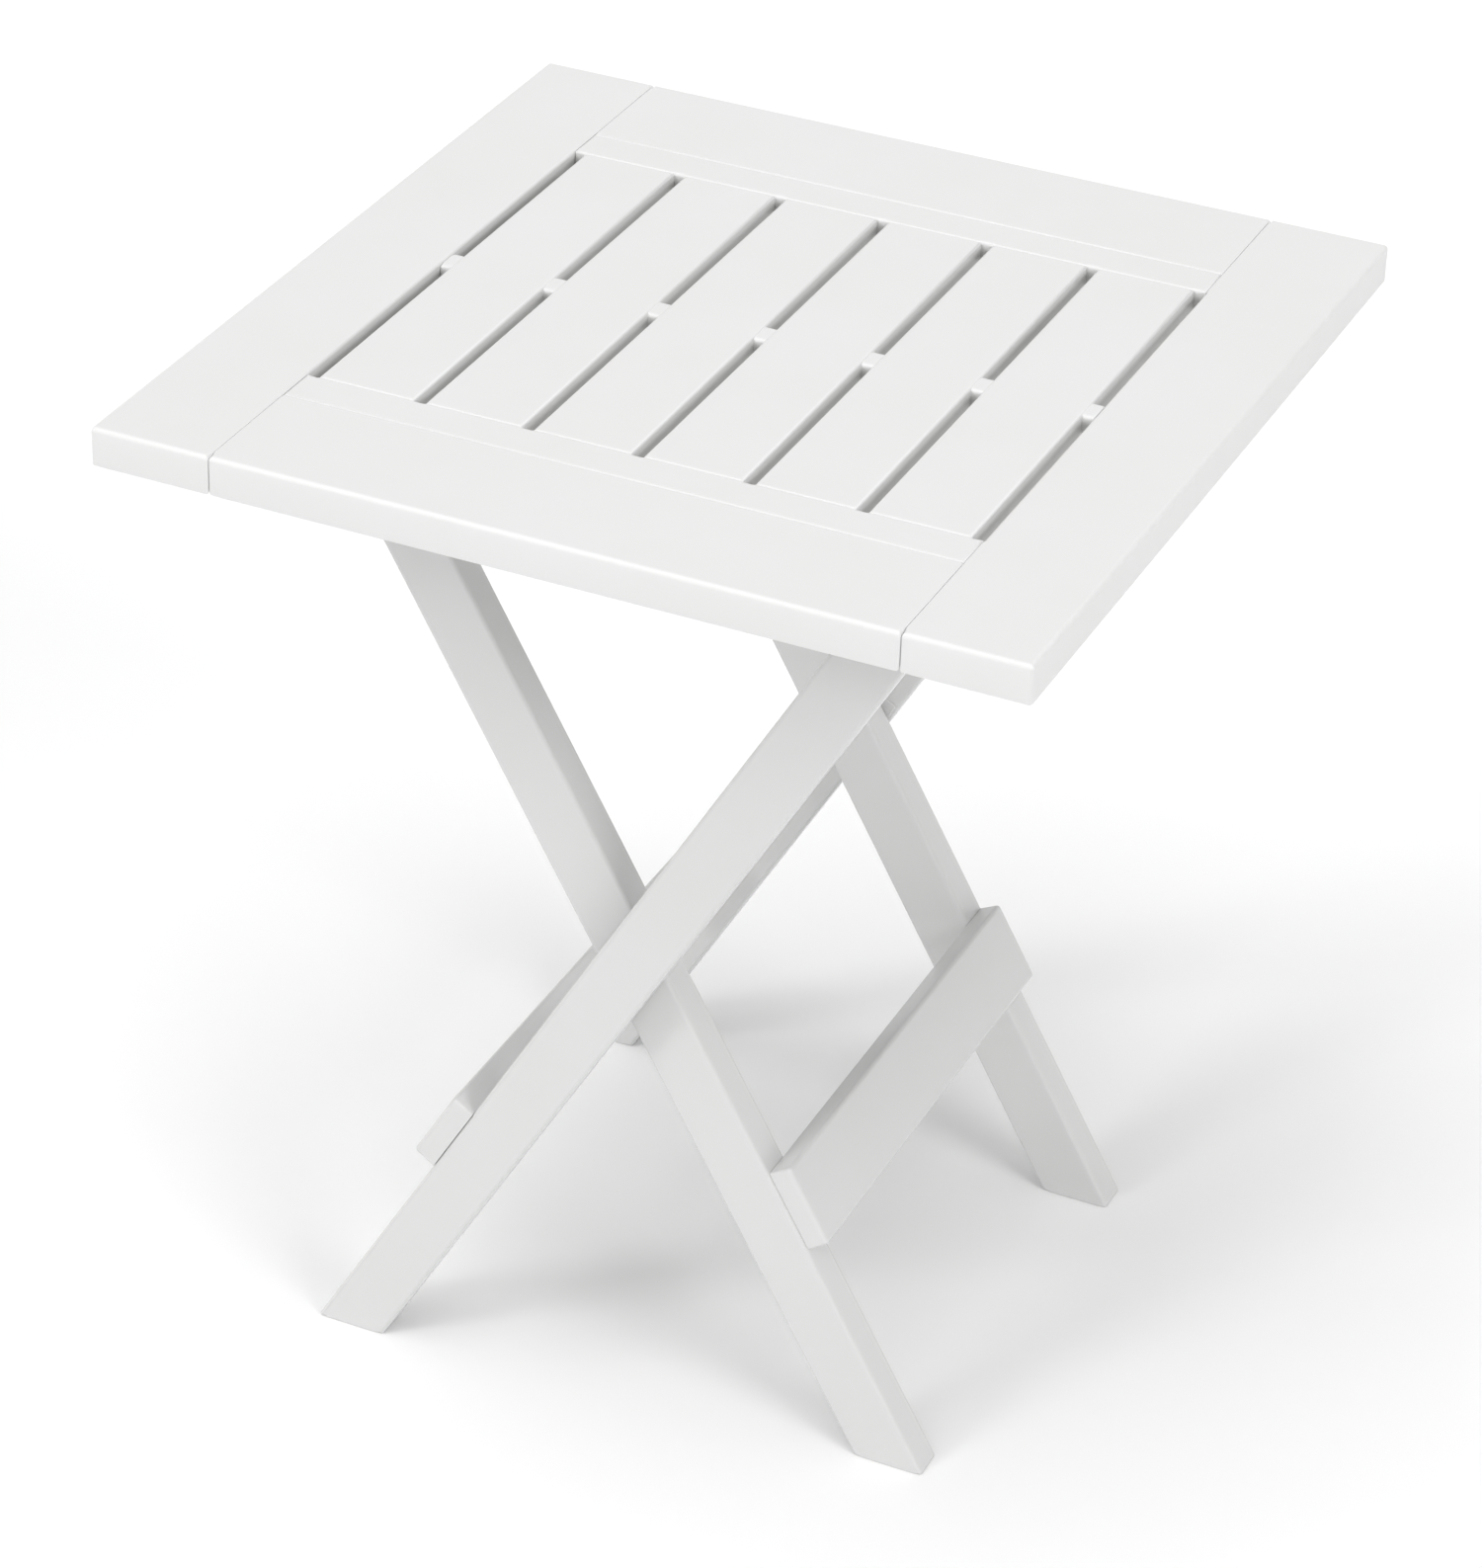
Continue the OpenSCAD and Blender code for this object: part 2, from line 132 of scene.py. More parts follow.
def rounded_polygon(corners, radii, softness, stations=()):
    """Anticlockwise outline of a convex polygon with a round at each corner, as a dictionary of arrays.

    With n1 and n2 the outward normals of the two sides at a corner, its mitre is
    (n1 + n2) / (1 + n1 . n2). The centre of the round lies inside the corner by radius * mitre, and its
    points are that centre plus radius times a ray that turns from n1 to n2. When the outline is pulled
    in by d, a side's straight part starts slope * d further on, where slope is the tangent of half the
    turn. softness has one value for each corner. stations are extra points on the sides, as
    (side, distance from the side's first corner, softness). The points of corner i sort from i to
    i + SPREAD, and the stations on side i, which follows it, from i + 0.5 to i + 0.5 + SPREAD.
    """
    corners, radii, softness = (np.asarray(v, float) for v in (corners, radii, softness))
    sides = np.roll(corners, -1, axis=0) - corners
    lengths = np.linalg.norm(sides, axis=1)
    sides = sides / lengths[:, None]
    after = np.stack([sides[:, 1], -sides[:, 0]], axis=1)
    before = np.roll(after, 1, axis=0)
    cosine = (before * after).sum(axis=1)
    turn = np.arctan2(before[:, 0] * after[:, 1] - before[:, 1] * after[:, 0], cosine)
    share = np.linspace(0, 1, CORNER_STEPS)
    angle = (np.arctan2(before[:, 1], before[:, 0])[:, None] + turn[:, None] * share).ravel()
    c = np.repeat(np.arange(len(corners)), CORNER_STEPS)
    side, at, soft = np.array(stations, float).reshape(-1, 3).T
    a = side.astype(int)
    b = (a + 1) % len(corners)
    slope, mitre = np.tan(turn / 2), (before + after) / (1 + cosine)[:, None]
    none, flat = np.zeros(len(c)), np.zeros((len(c), 2))
    place = [c + SPREAD * np.tile(share, len(corners)), a + 0.5 + SPREAD * at / lengths[a]]
    order = np.argsort(np.concatenate(place))
    rays = np.stack([np.cos(angle), np.sin(angle)], axis=1)
    parts = {"base": (corners[c], corners[a]), "side": (flat, sides[a]), "at": (none, at),
             "slope_0": (none, slope[a]), "round_0": (none, radii[a]), "length": (none, lengths[a]),
             "slope_1": (none, slope[b]), "round_1": (none, radii[b]), "pull": (mitre[c], after[a]),
             "radius": (radii[c], 0 * at), "ray": (rays, 0 * after[a]), "soft": (softness[c], soft)}
    return {key: np.concatenate(pair)[order] for key, pair in parts.items()}


def rectangle(x0, x1, y0, y1, radii, softness, stations=()):
    """Rounded rectangle; its sides are, in order, the low y, high x, high y and low x side."""
    return rounded_polygon([(x0, y0), (x1, y0), (x1, y1), (x0, y1)], radii, softness, stations)


print("points on a rounded square:", len(rectangle(0, 1, 0, 1, [0.1] * 4, [1] * 4)["soft"]))

# %% [markdown]
# ## Rings
#
# A ring is the outline at one height. To round an edge of radius r, the ring is pulled in by
# r (1 - sin a) and moved by r (1 - cos a), with a from 0 to 90 degrees. One more ring lies a little
# further in on the flat face, and one a little further down the wall: they hold the shading there
# flat, as a holding edge does in a subdivision model, so that the round doesn't smear over the board.

# %% Rings into closed solids
ROUND_STEPS = 6
HOLD = 0.3 * MM
SAME = 1e-9


def ring(outline, inset, height):
    """The outline pulled in; inset and height are numbers or one value a point.

    point = base + side * at - pull * max(radius, inset) + ray * max(radius - inset, 0), where at is
    kept within what is left of the straight side.
    """
    o = outline
    depth = np.broadcast_to(inset, len(o["soft"]))
    start = o["slope_0"] * np.maximum(o["round_0"], depth)
    stop = o["length"] - o["slope_1"] * np.maximum(o["round_1"], depth)
    flat = (o["base"] + o["side"] * np.clip(o["at"], start, stop)[:, None]
            - o["pull"] * np.maximum(o["radius"], depth)[:, None]
            + o["ray"] * np.maximum(o["radius"] - depth, 0)[:, None])
    return np.column_stack([flat, np.broadcast_to(height, len(depth))])


def edge_rings(outline, height, radius, into):
    """Rings of a rounded edge, from the flat face at height, down the round, to the side wall.

    into is -1 where the solid lies below the face and 1 where it lies above.
    """
    soft = outline["soft"] * radius
    angles = np.linspace(0, math.pi / 2, ROUND_STEPS)
    rings = [ring(outline, soft + HOLD, height)]
    rings += [ring(outline, soft * (1 - math.sin(a)), height + into * soft * (1 - math.cos(a)))
              for a in angles]
    rings.append(ring(outline, 0.0, height + into * (soft + HOLD)))
    return rings


def circles(centre, profile, around):
    """Surface of revolution: point = centre + radius * (cos t, sin t) at each height of the profile."""
    angles = np.linspace(0, 2 * math.pi, around, endpoint=False)
    radii, heights = np.array(profile, float).T
    x = centre[0] + radii[:, None] * np.cos(angles)
    y = centre[1] + radii[:, None] * np.sin(angles)
    return np.stack([x, y, np.broadcast_to(heights[:, None], x.shape)], axis=-1)


def closed(walls, caps):
    """Points and faces of a closed shell.

    A wall is a grid of rings: point j of ring i, its neighbour, and the same two on ring i + 1 make a
    quad. A cap is a flat face with the listed (wall, ring) curves as its rims, cut into triangles, so
    that a second curve is a hole.
    """
    walls = [np.array(w) for w in walls]
    points = np.concatenate([w.reshape(-1, 3) for w in walls])
    starts = np.cumsum([0] + [w.shape[0] * w.shape[1] for w in walls])
    grids = [s + np.arange(w.shape[0] * w.shape[1]).reshape(w.shape[:2]) for s, w in zip(starts, walls)]
    faces = []
    for grid in grids:
        turned = np.roll(grid, -1, axis=1)
        quads = np.stack([grid[:-1], turned[:-1], turned[1:], grid[1:]], axis=-1)
        faces += quads.reshape(-1, 4).tolist()
    for cap in caps:
        rims = [grids[w][r] for w, r in cap]
        rims = [rim[np.linalg.norm(points[rim] - points[np.roll(rim, 1)], axis=1) > SAME] for rim in rims]
        corners = tessellate_polygon([points[rim] for rim in rims])
        faces += np.concatenate(rims)[np.array(corners)].tolist()
    return points, faces


def plate(outline, low, high, radius, sinks=()):
    """A slab between two heights with all its edges rounded: the low edge's rings, then the high edge's.

    sinks are blind round holes in the low face: grids from circles, from the face to the floor.
    """
    rings = edge_rings(outline, low, radius, 1) + edge_rings(outline, high, radius, -1)[::-1]
    mouths = [(i + 1, 0) for i in range(len(sinks))]
    floors = [[(i + 1, -1)] for i in range(len(sinks))]
    return closed([rings, *sinks], [[(0, 0), *mouths], [(0, -1)], *floors])


# %% [markdown]
# ## From solids to pieces
#
# A solid is worked out lying flat: its outline in u and v, its thickness along w. `placed` turns it
# into the frame of the table by saying where the origin is and which way u, v and w point. `piece`
# gathers the solids of one moulding into one mesh, welds the points that fall together, turns the
# faces outwards, and shades it smooth up to 35 degrees. Then it says which body the piece moves with,
# which finish it takes, and which CAD parts it stands for.

# %% Solids into objects
SMOOTH_LIMIT = math.radians(35)
WELD = 1e-7
X, Y, Z = (1, 0, 0), (0, 1, 0), (0, 0, 1)


def placed(solid, origin=(0, 0, 0), u=X, v=Y, w=Z):
    """Moves each point to origin + u * x + v * y + w * z."""
    points, faces = solid
    return np.array(origin) + points @ np.array([u, v, w], float), faces


def piece(name, solids, body, slot, material, *stands_for):
    """One object from several closed solids, riding on a body in place of CAD nodes."""
    mesh = bpy.data.meshes.new(name)
    whole = bmesh.new()
    for points, faces in solids:
        part = bpy.data.meshes.new("part")
        part.from_pydata(points, [], faces)
        shell = bmesh.new()
        shell.from_mesh(part)
        bmesh.ops.remove_doubles(shell, verts=shell.verts, dist=WELD)
        bmesh.ops.recalc_face_normals(shell, faces=shell.faces)
        shell.to_mesh(part)
        shell.free()
        whole.from_mesh(part)
        bpy.data.meshes.remove(part)
    open_edges = sum(not e.is_manifold for e in whole.edges)
    whole.to_mesh(mesh)
    whole.free()
    mesh.shade_smooth()
    mesh.set_sharp_from_angle(angle=SMOOTH_LIMIT)
    return dressed(name, mesh, body, slot, material, *stands_for, note=f"{open_edges} open edges")


def dressed(name, mesh, body, slot, material, *stands_for, note=""):
    """An object for a finished mesh with its material, body and nodes it stands for; slot is not used."""
    mesh.materials.clear()
    mesh.materials.append(material)
    made = bpy.data.objects.new(name, mesh)
    bpy.context.scene.collection.objects.link(made)
    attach(made, body)
    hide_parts(*stands_for)
    print(f"{name}: {len(mesh.polygons)} faces", note)
    return made


# %% [markdown]
# ## One way to build a material
#
# A material is a small program: nodes that pass numbers and colours to a shader. One function adds any
# node, sets its properties and values, and links what feeds it. It serves the surround of the scene
# too, which is built from nodes in the same way. Colours are written as the hex values a paint chart
# would give, and one function turns them to the linear values that light adds up in.

# %% Node and colour helpers
def linear(hex_colour):
    """sRGB hex to linear: c / 12.92 in the dark part, ((c + 0.055) / 1.055) ^ 2.4 above it."""
    srgb = np.array([int(hex_colour[i:i + 2], 16) for i in (1, 3, 5)]) / 255
    return (*np.where(srgb <= 0.04045, srgb / 12.92, ((srgb + 0.055) / 1.055) ** 2.4), 1.0)


def new_material(name):
    """A material with an empty node tree."""
    material = bpy.data.materials.new(name)
    material.use_nodes = True
    material.node_tree.nodes.clear()
    return material


def node(owner, kind, inputs=None, **settings):
    """Adds a node to a material or a world.

    inputs are values or (node, output) links, and settings are the node's own properties.
    """
    tree = owner.node_tree
    made = tree.nodes.new("ShaderNode" + kind)
    for key, value in settings.items():
        setattr(made, key, value)
    for socket, value in (inputs or {}).items():
        if isinstance(value, tuple) and isinstance(value[0], bpy.types.Node):
            tree.links.new(value[0].outputs[value[1]], made.inputs[socket])
        else:
            made.inputs[socket].default_value = value
    return made


# %% [markdown]
# ## Moulded polypropylene
#
# The table is white polypropylene. Its look comes from the mould: the steel is spark eroded, which
# leaves a fine grain of pits about 0.1 mm across, so the plastic is satin and not mirror smooth. That
# grain is too fine to show here, so it is drawn four times coarser and kept shallow. Two slower
# variations make it real: the gloss changes a little where the plastic cooled faster, and the white
# drifts by a shade. On the legs, ribs inside pull the skin in as it cools, which leaves faint sink
# marks across the leg every 30 mm. Down in the slots between the slats the top's white is painted
# greyer: this is painted shade, for the little light that reaches the slot walls.

# %% Material: moulded polypropylene
GRAIN, GRAIN_DEEP = 0.4 * MM, 0.02 * MM
WHITE_DRIFT, GLOSS_PATCH = 60 * MM, 14 * MM
SINK_PITCH, SINK_HALF, SINK_DEEP = 30 * MM, 2.5 * MM, 0.06 * MM
# Painted shade in the slots: where it starts below the top, where it is full, and how far past the slots
# it reaches.
SLOT_SHADE_FROM, SLOT_SHADE_FULL, SLOT_SHADE_PAST = 1.5 * MM, 6 * MM, 1 * MM
POLYPROPYLENE_IOR = 1.49


def slot_shade_mask(made, place):
    """Mask of the painted shade in the slots: 0 on open faces and 1 down in the slots, the depth below
    the top, times two limits on |x| and |y|.

    The depth grows from 0 at SLOT_SHADE_FROM below the top to 1 at SLOT_SHADE_FULL. Only points up
    to SLOT_SHADE_PAST beyond the slots count, so the outer sides of the table stay unshaded.
    """
    axes = node(made, "SeparateXYZ", {"Vector": (place, "Object")})
    depth = node(made, "MapRange", {"Value": (axes, "Z"), "From Min": top_z - SLOT_SHADE_FROM,
                                    "From Max": top_z - SLOT_SHADE_FULL}, interpolation_type="SMOOTHSTEP")
    for axis, limit in (("X", board_x + SLOT_SHADE_PAST), ("Y", SLOT_END + SLOT_SHADE_PAST)):
        away = node(made, "Math", {0: (axes, axis)}, operation="ABSOLUTE")
        inside = node(made, "Math", {0: (away, 0), 1: limit}, operation="LESS_THAN")
        depth = node(made, "Math", {0: (depth, 0), 1: (inside, 0)}, operation="MULTIPLY")
    return depth


def polypropylene(name, light, shade, rough_low, rough_high, sink_turn=None, painted_slot_shade=None):
    """Satin moulded plastic: drift of the white, patches of gloss, a fine grain, and sink marks.

    sink_turn is the lean of the leg whose skin shows sink marks; painted_slot_shade is the painted
    shade colour that the white takes down in the slots. A sink mark's depth falls from SINK_DEEP to 0
    within SINK_HALF.
    """
    made = new_material(name)
    place = node(made, "TexCoord")
    drift = node(made, "TexNoise", {"Vector": (place, "Object"), "Scale": 1 / WHITE_DRIFT, "Detail": 2.0})
    white = node(made, "Mix", {"Factor": (drift, "Fac"), "A": linear(shade), "B": linear(light)},
                 data_type="RGBA")
    # Painted shade: the white turns greyer down in the slots, where little light reaches.
    if painted_slot_shade:
        white = node(made, "Mix", {"Factor": (slot_shade_mask(made, place), 0), "A": (white, "Result"),
                                   "B": linear(painted_slot_shade)}, data_type="RGBA")
    flow = node(made, "TexNoise", {"Vector": (place, "Object"), "Scale": 1 / GLOSS_PATCH, "Detail": 4.0,
                                   "Roughness": 0.6})
    gloss = node(made, "MapRange", {"Value": (flow, "Fac"), "From Min": 0.3, "From Max": 0.7,
                                    "To Min": rough_low, "To Max": rough_high})
    grain = node(made, "TexNoise", {"Vector": (place, "Object"), "Scale": 1 / GRAIN, "Detail": 2.0})
    relief = node(made, "Bump", {"Height": (grain, "Fac"), "Distance": GRAIN_DEEP, "Strength": 0.5})
    if sink_turn is not None:
        turned = node(made, "Mapping", {"Vector": (place, "Object"), "Rotation": (0.0, -sink_turn, 0.0)})
        along = node(made, "SeparateXYZ", {"Vector": (turned, "Vector")})
        phase = node(made, "Math", {0: (along, "Z"), 1: SINK_PITCH}, operation="PINGPONG")
        sink = node(made, "MapRange", {"Value": (phase, 0), "From Min": 0.0, "From Max": SINK_HALF},
                    interpolation_type="SMOOTHERSTEP")
        relief = node(made, "Bump", {"Height": (sink, "Result"), "Distance": SINK_DEEP, "Strength": 0.6,
                                     "Normal": (relief, "Normal")})
    skin = node(made, "BsdfPrincipled", {"Base Color": (white, "Result"), "Roughness": (gloss, "Result"),
                                         "IOR": POLYPROPYLENE_IOR, "Normal": (relief, "Normal")})
    node(made, "OutputMaterial", {"Surface": (skin, "BSDF")})
    return made


LEG_WHITE, LEG_SHADE, LEG_GLOSS = "#DADADA", "#D7D7D6", (0.18, 0.26)
# B6B6B4 is the painted shade that the top's white turns to down in the slots.
resin_top = polypropylene("moulded_polypropylene_top", "#E4E4E4", "#E1E1E0", 0.4, 0.48,
                          painted_slot_shade="#B6B6B4")
resin_outer = polypropylene("moulded_polypropylene_outer_legs", LEG_WHITE, LEG_SHADE, *LEG_GLOSS, lean)
resin_inner = polypropylene("moulded_polypropylene_inner_legs", LEG_WHITE, LEG_SHADE, *LEG_GLOSS, -lean)
resin_fittings = polypropylene("moulded_polypropylene_fittings", "#E2E2E0", "#DFDFDD", 0.4, 0.5)
print("resins:", [m.name for m in bpy.data.materials if "polypropylene" in m.name])

# %% [markdown]
# ## Metal parts and washers
#
# The pins and the bar are drawn steel: the die leaves fine lines along the length, so roughness
# changes quickly across the length and slowly along it, which a stretched noise gives. The screws are
# zinc plated, a bluish grey with small crystals. The washers under the pivot heads are nylon, a warm
# white with a matt, slightly waxy surface.

# %% Materials: drawn steel, zinc plate, nylon
DRAWING_LINE, LINE_STRETCH = 0.3 * MM, 30
ZINC_CRYSTAL = 0.6 * MM
METAL_RELIEF = 0.01 * MM


def metal(name, colour, pattern, stretch, rough_low, rough_high):
    """Metal with a noise of the pattern's size, stretched along Y, that varies roughness and relief."""
    made = new_material(name)
    place = node(made, "TexCoord")
    drawn = node(made, "Mapping", {"Vector": (place, "Object"), "Scale": (1.0, 1 / stretch, 1.0)})
    lines = node(made, "TexNoise", {"Vector": (drawn, "Vector"), "Scale": 1 / pattern, "Detail": 3.0})
    rough = node(made, "MapRange", {"Value": (lines, "Fac"), "To Min": rough_low, "To Max": rough_high})
    relief = node(made, "Bump", {"Height": (lines, "Fac"), "Distance": METAL_RELIEF, "Strength": 0.5})
    tint = node(made, "Mix", {"Factor": (lines, "Fac"), "A": linear(colour), "B": linear("#B9BBBF")},
                data_type="RGBA")
    skin = node(made, "BsdfPrincipled", {"Base Color": (tint, "Result"), "Metallic": 1.0,
                                         "Roughness": (rough, "Result"), "Normal": (relief, "Normal")})
    node(made, "OutputMaterial", {"Surface": (skin, "BSDF")})
    return made


steel = metal("drawn_steel_bright", "#C6C7C9", DRAWING_LINE, LINE_STRETCH, 0.22, 0.42)
zinc = metal("zinc_plated_steel", "#C2C5CB", ZINC_CRYSTAL, 1, 0.3, 0.5)
nylon = polypropylene("nylon_moulded", "#EFEDE6", "#E6E3DA", 0.5, 0.6)
print("metals:", steel.name, zinc.name)

# %% [markdown]
# ## Boards and slats as shells
#
# A board isn't solid: it is a 3 mm skin with walls round its edge, open below, because thick plastic
# would sink and warp. So its rings start inside, at the underside of the skin, run down the inner
# wall, turn round the rim, and come up the outer wall to the rounded top edge. The rim's height may
# change along the outline: the apron is deep on the outer sides and shallow at a seam, and its lower
# corners at a seam are rounded.
#
# The top edge is rounded by 2.2 mm times the softness of the outline there: 1 on the outer sides, a
# little less along a slot, half where two flats meet in a moulded line, and next to nothing at a seam.

# %% Shell of a board
SKIN, WALL, APRON_WALL = 3.0 * MM, 2.5 * MM, 3.0 * MM
EDGE_ROUND, RIM_ROUND, RIB_ROUND = 2.2 * MM, 0.5 * MM, 0.2 * MM
SLOT_EDGE, BEAD, SEAM = 0.7, 0.45, 0.15
RIB_BITE = 0.5 * MM
skin_z = top_z - SKIN


def board_shell(outline, inner, rim):
    """Open-bottomed shell of a board: skin, walls and a rounded top edge.

    The inner wall is the outline clamped to the box inner = (x0, x1, y0, y1), so that walls can have
    different thicknesses; rim is the height of the lower edge at each point of the outline.
    """
    points = ring(outline, 0, 0)[:, :2]
    inside = np.clip(points, [inner[0], inner[2]], [inner[1], inner[3]])
    rings = [np.column_stack([inside, np.full(len(points), skin_z)]), np.column_stack([inside, rim])]
    rings += [ring(outline, RIM_ROUND * (1 - math.sin(a)), rim + RIM_ROUND * (1 - math.cos(a)))
              for a in np.linspace(0, math.pi / 2, 4)]
    rings += edge_rings(outline, top_z, EDGE_ROUND, -1)[::-1]
    return closed([rings], [[(0, 0)], [(0, -1)]])


def rib(x0, x1, y0, y1):
    """A thin upright wall under the skin, from the deck's lower edge to just inside the skin."""
    outline = rectangle(x0, x1, y0, y1, [RIB_ROUND] * 4, [1] * 4)
    return plate(outline, deck_z, skin_z + RIB_BITE, RIB_ROUND)


def rim_height(points, deep, corner_x, corner_round):
    """Height of the lower edge: the apron's where deep is true, the deck's elsewhere.

    Within corner_round of |x| = corner_x the apron rises by r - sqrt(r^2 - away^2), a quarter circle.
    """
    away = np.clip(corner_round - np.abs(np.abs(points[:, 0]) - corner_x), 0, corner_round)
    rise = corner_round - np.sqrt(corner_round ** 2 - away ** 2)
    return np.where(deep, apron_z + rise, deck_z)


# %% [markdown]
# ## End boards
#
# Each end board runs the full depth of the table. Its inner edge is nearly sharp where a rail butts
# against it, so that the seam reads as one fine line. Between the rails that edge is one side of a
# slot, and there it is as soft as the edge of a slat.

# %% End boards
STEP = 0.05 * MM
BOARD_CELLS = 12
BOARD_CORNER = 1.2 * MM
CORNER_STOPS = np.array([0.15, 0.4, 0.8, 1.2, 2.0]) * MM
SEAM_CORNER, SEAM_START, SEAM_STOP, SLOT_START = 0.9, 5.5 * MM, 2.5 * MM, 0.5 * MM
OUTER_PLAN, SEAM_PLAN, SLAT_PLAN, BUTT_PLAN = 2 * MM, 1 * MM, 0.6 * MM, 0.4 * MM


def end_board(side):
    """Shell and ribs of the end board on the side's X.

    The stations on its inner edge (side 3) say where it is a seam and where it is a slot; both halves
    mirror each other. Sides 0 and 2 are the board's ends, whose lower corners round at the seam.
    """
    slot_from = half_d - SLOT_END
    inner_edge = [(3, APRON_WALL, SEAM_CORNER), (3, APRON_WALL + STEP, SEAM_CORNER),
                  (3, SEAM_START, SEAM), (3, slot_from - SEAM_STOP, SEAM),
                  (3, slot_from + SLOT_START, SLOT_EDGE)]
    inner_edge += [(s, 2 * half_d - d, soft) for s, d, soft in inner_edge]
    near_seam = [(0, stop, 1.0) for stop in CORNER_STOPS]
    near_seam += [(2, half_w - board_x - stop, 1.0) for stop in CORNER_STOPS]
    outline = rectangle(board_x, half_w, -half_d, half_d, [SEAM_PLAN, OUTER_PLAN, OUTER_PLAN, SEAM_PLAN],
                        [1] * 4, inner_edge + near_seam)
    points = ring(outline, 0, 0)
    butts = np.abs(points[:, 1]) < half_d - APRON_WALL - STEP / 2
    rim = rim_height(points, ~((points[:, 0] < board_x + WELD) & butts), board_x, BOARD_CORNER)
    inner = (board_x + WALL, half_w - APRON_WALL, -half_d + APRON_WALL, half_d - APRON_WALL)
    pitch = (inner[3] - inner[2] + WALL) / BOARD_CELLS
    far = [inner[2] + i * pitch for i in range(1, BOARD_CELLS)]
    solids = [board_shell(outline, inner, rim)]
    solids += [rib(inner[0] - RIB_BITE, inner[1] + RIB_BITE, y - WALL, y) for y in far]
    return [placed(s, u=(side, 0, 0)) for s in solids]


for side, name in ((-1, "left"), (1, "right")):
    piece(f"{name}_end_board_moulded", end_board(side), "tabletop", "white_resin_top", resin_top,
          f"{name}_end_board")

# %% [markdown]
# ## Front and rear rails
#
# A rail closes the top between the end boards. It is held by two tenons at each end, flat tongues
# that reach under the skin of the end board and are screwed there from below. Only its outer wall is
# deep. The round posts under the skin take the screws of the hinge brackets.

# %% Rails
TENON_WIDE, TENON_LONG, TENON_THICK = 20 * MM, 12 * MM, 4 * MM
TENON_ROOT, TENON_ROUND = 2 * MM, 0.3 * MM
tenon_z = deck_z + 1 * MM
RAIL_TENONS = [170 * MM, 200 * MM]
PANEL_TENONS = [-110 * MM, 0.0, 110 * MM]
RAIL_CELLS, RAIL_CORNER, BEAD_RUN = 9, 2 * MM, 3 * MM
POST_R, POST_ROUND, POST_SIDES = 4 * MM, 0.3 * MM, 24
BRACKET_SCREW, BRACKET_SPREAD = 22 * MM, 13 * MM
bracket_x = [hinge[0] - BRACKET_SPREAD, hinge[0] + BRACKET_SPREAD]
bracket_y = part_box("hinge_bracket_rear")[0].y + BRACKET_SCREW


def tenon(x, y, along_x):
    """Flat tongue about (x, y) that starts TENON_ROOT inside its own board and reaches out of it."""
    dx, dy = TENON_LONG / 2, TENON_WIDE / 2
    if not along_x:
        dx, dy = dy, dx
    return plate(rectangle(x - dx, x + dx, y - dy, y + dy, [1 * MM] * 4, [1] * 4), tenon_z,
                 tenon_z + TENON_THICK, TENON_ROUND)


def post(x, y):
    """Round post under the skin that a screw bites into, with a chamfer at its lower end."""
    rows = [(POST_R - POST_ROUND, deck_z), (POST_R, deck_z + POST_ROUND), (POST_R, skin_z + RIB_BITE)]
    return closed([circles((x, y), rows, POST_SIDES)], [[(0, 0)], [(0, -1)]])


def rail(side):
    """Shell, ribs, tenons and posts of the rail on the side's Y."""
    length, width = 2 * rail_x, half_d - rail_y
    ends = [(3, APRON_WALL, SEAM_CORNER), (3, APRON_WALL + STEP, SEAM_CORNER), (3, SEAM_START, SEAM),
            (3, width - BEAD_RUN, SEAM)]
    ends += [(1, width - d, soft) for _, d, soft in ends]
    near_seam = [(2, d, 1.0) for stop in CORNER_STOPS for d in (stop, length - stop)]
    outline = rectangle(-rail_x, rail_x, rail_y, half_d, [BUTT_PLAN, BUTT_PLAN, SEAM_PLAN, SEAM_PLAN],
                        [BEAD, BEAD, 1, 1], ends + near_seam)
    points = ring(outline, 0, 0)
    rim = rim_height(points, points[:, 1] > half_d - APRON_WALL - STEP / 2, rail_x, RAIL_CORNER)
    inner = (-rail_x + WALL, rail_x - WALL, rail_y + WALL, half_d - APRON_WALL)
    pitch = (inner[1] - inner[0] + WALL) / RAIL_CELLS
    far = [inner[0] + i * pitch for i in range(1, RAIL_CELLS)]
    reach = rail_x + TENON_LONG / 2 - TENON_ROOT
    solids = [board_shell(outline, inner, rim)]
    solids += [rib(x - WALL, x, inner[2] - RIB_BITE, inner[3] + RIB_BITE) for x in far]
    solids += [tenon(s * reach, y, True) for s in (-1, 1) for y in RAIL_TENONS]
    solids += [post(x, bracket_y) for x in bracket_x]
    return [placed(s, v=(0, side, 0)) for s in solids]


for side, name in ((-1, "front"), (1, "rear")):
    piece(f"{name}_rail_moulded", rail(side), "tabletop", "white_resin_top", resin_top, f"{name}_rail")

# %% [markdown]
# ## The slat panel
#
# Six slats, the two strips that close their ends and the rib across the middle are one moulding. Each
# slat is a shell like the boards. The slats have soft long edges, and where they meet the end strips a
# fine moulded line is left. The strips are soft only where a slot runs into them, which is why a slot
# ends in a bright, rounded lip. The rib lies 0.6 mm below the top, so the slats still read as separate.

# %% Slat panel
SLATS = 6
SLOT = 5.5 * MM
slat_pitch = (2 * seam_x - SLOT) / SLATS
slat_w = slat_pitch - SLOT
slot_x = -seam_x + np.arange(SLATS + 1) * slat_pitch
LIP, LIP_IN, LIP_FADE = 0.8, 0.4 * MM, 1 * MM
RIB_W, RIB_DROP, RIB_SOFT = 14 * MM, 0.6 * MM, 1.8 * MM
CATCH_SCREWS, CATCH_ASIDE = (6 * MM, 16 * MM), 6 * MM
catch_y = [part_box("catch_rear")[0].y + s for s in CATCH_SCREWS]
catch_x = -hinge[0] + CATCH_ASIDE


